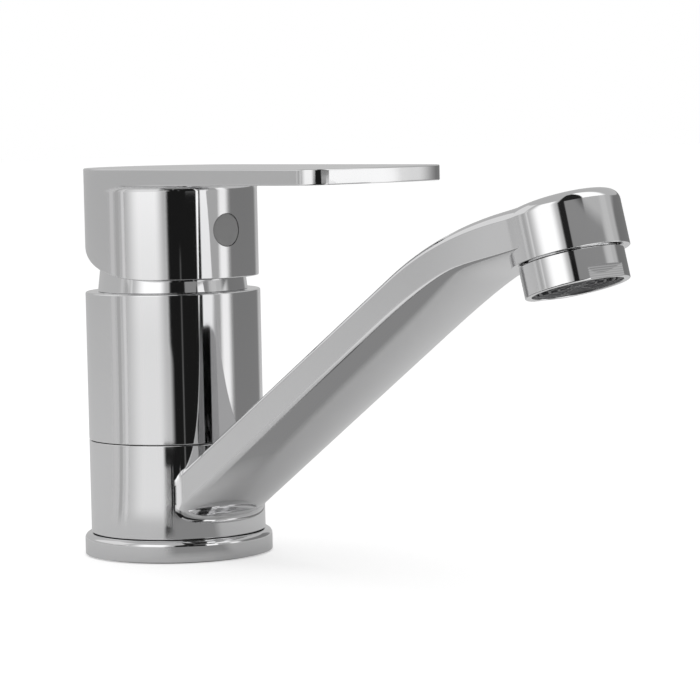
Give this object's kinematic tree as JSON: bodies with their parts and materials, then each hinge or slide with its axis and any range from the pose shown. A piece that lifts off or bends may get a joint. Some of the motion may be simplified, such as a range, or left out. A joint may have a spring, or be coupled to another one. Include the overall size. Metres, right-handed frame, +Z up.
{
  "type": "basin mixer tap",
  "caption": "Single lever basin mixer tap with a cylindrical body, a flat paddle lever and a long slanting spout that swivels on the body and ends in a round aerator head.",
  "frame": {"origin": "centre of the mounting face, on the basin, on the axis of the body", "axes": "+Z up along the body's axis, +X towards the spout's outlet and the lever's tip, +Y to the right of a user who faces the tap"},
  "size_m": [0.1988, 0.0538, 0.1106],
  "materials": {
    "chrome": "polished chrome plating",
    "rubber": "matt",
    "steel": "machined stainless steel",
    "brass": "machined",
    "glide_plastic": "moulded",
    "light_plastic": "moulded",
    "dark_plastic": "moulded",
    "ceramic": "lapped ceramic",
    "plug_plastic": "smooth moulded"
  },
  "bodies": {
    "body": {"body_casting": "chrome", "base_ring": "chrome", "base_gasket": "rubber", "base_screws": "steel", "swivel_stop_pin": "steel", "lower_glide_ring": "glide_plastic", "upper_glide_ring": "glide_plastic", "lower_seal": "rubber", "upper_seal": "rubber", "clamp_nut": "brass", "cover_seal": "rubber", "cartridge_cover": "chrome", "cartridge_housing": "light_plastic", "cartridge_base": "dark_plastic", "port_seals": "rubber", "fixed_disc": "ceramic"},
    "spout": {"swivel_spout": "chrome", "aerator_housing": "chrome", "aerator_washer": "rubber", "aerator_insert": "light_plastic", "aerator_grid": "dark_plastic", "aerator_screen": "steel"},
    "carrier": {"spindle_carrier": "light_plastic", "hinge_pin": "steel"},
    "mixing_disc": {"moving_disc": "ceramic", "disc_driver": "light_plastic"},
    "handle": {"handle": "chrome", "spindle": "brass", "grub_screw": "steel", "index_plug": "plug_plastic"}
  },
  "joints": [
    {"name": "spout_swivel", "type": "hinge", "parent": "body", "child": "spout", "pos_m": [0, 0, 0.02], "axis": [0, 0, 1], "range_deg": [-75, 75]},
    {"name": "handle_turn", "type": "hinge", "parent": "body", "child": "carrier", "pos_m": [0, 0, 0.07], "axis": [0, 0, 1], "range_deg": [-50, 50]},
    {"name": "handle_lift", "type": "hinge", "parent": "carrier", "child": "handle", "pos_m": [0, 0, 0.07], "axis": [0, -1, 0], "range_deg": [0, 25]},
    {"name": "disc_slide", "type": "slide", "parent": "carrier", "child": "mixing_disc", "axis": [1, 0, 0], "range_m": [0, 0.0047]}
  ],
  "couplings": [
    {"joint": "disc_slide", "follows": "handle_lift", "m_per_rad": 0.010654}
  ]
}
